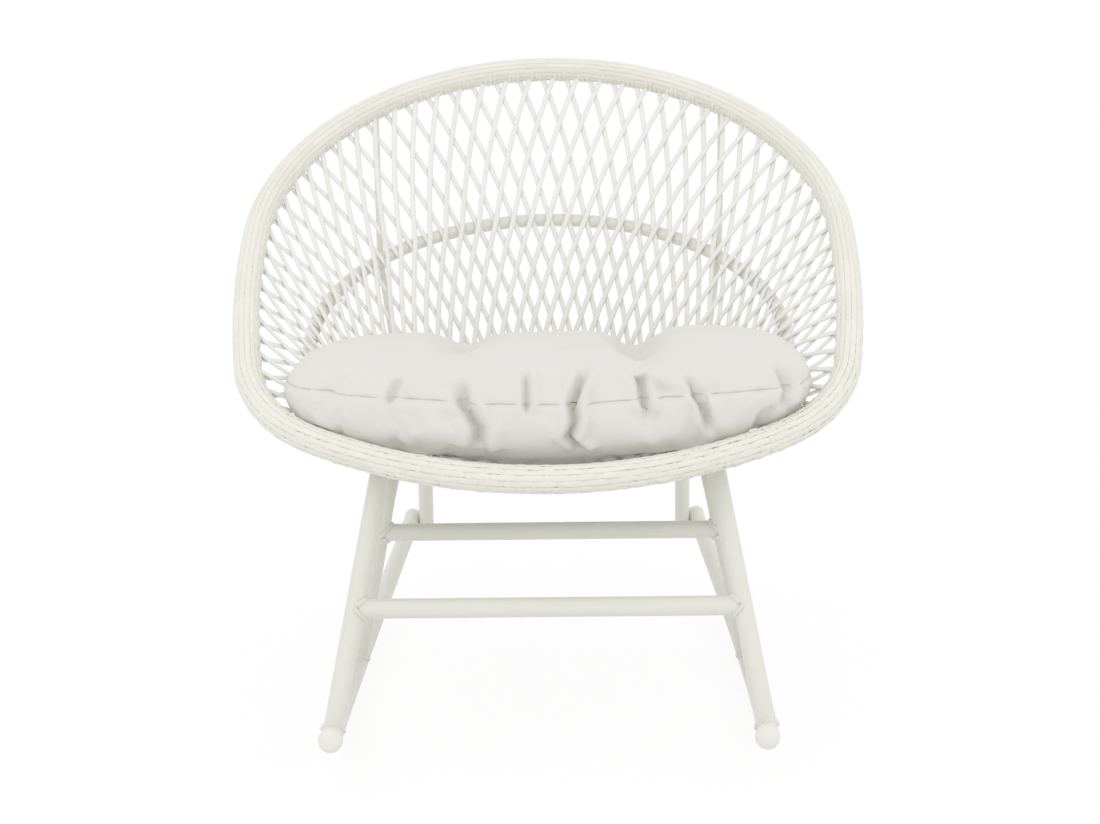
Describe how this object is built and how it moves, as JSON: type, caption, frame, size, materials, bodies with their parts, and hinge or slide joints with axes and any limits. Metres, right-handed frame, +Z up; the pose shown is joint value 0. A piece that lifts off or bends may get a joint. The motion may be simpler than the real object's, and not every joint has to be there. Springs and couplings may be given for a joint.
{
  "type": "rocking armchair",
  "caption": "Rocking armchair with a tilted oval rim, an open shell of crossed resin wicker strands, a loose seat cushion and a bent tube frame on two curved rockers.",
  "frame": {"origin": "on the floor under the middle of the chair's bounding box", "axes": "+Z up, +Y from the seat's front to its back, +X to the right seen from the front"},
  "size_m": [0.882, 0.9032, 0.8975],
  "materials": {
    "frame_paint": "satin off-white powder coat",
    "rim_band": "wound flat resin strip, off-white",
    "wicker": "smooth resin strand, off-white",
    "plugs": "moulded plug, off-white",
    "cushion_cloth": "white woven outdoor cloth"
  },
  "bodies": {
    "root": {"mid_hoop": "frame_paint", "seat_ring": "frame_paint", "rim_core": "frame_paint", "rocker_left": "frame_paint", "front_leg_left": "frame_paint", "rear_bow_left": "frame_paint", "back_stay_left": "frame_paint", "rocker_right": "frame_paint", "front_leg_right": "frame_paint", "rear_bow_right": "frame_paint", "back_stay_right": "frame_paint", "front_stretcher": "frame_paint", "rear_stretcher": "frame_paint", "rim_wrap": "rim_band", "back_strands_left_lay": "wicker", "back_strands_right_lay": "wicker", "seat_strands_left_lay": "wicker", "seat_strands_right_lay": "wicker", "pan_strands_left_lay": "wicker", "pan_strands_right_lay": "wicker", "front_cap_left": "plugs", "front_cap_right": "plugs", "rear_cap_left": "plugs", "rear_cap_right": "plugs", "tail_cap_left": "plugs", "tail_cap_right": "plugs", "seat_cushion": "cushion_cloth"}
  },
  "joints": []
}
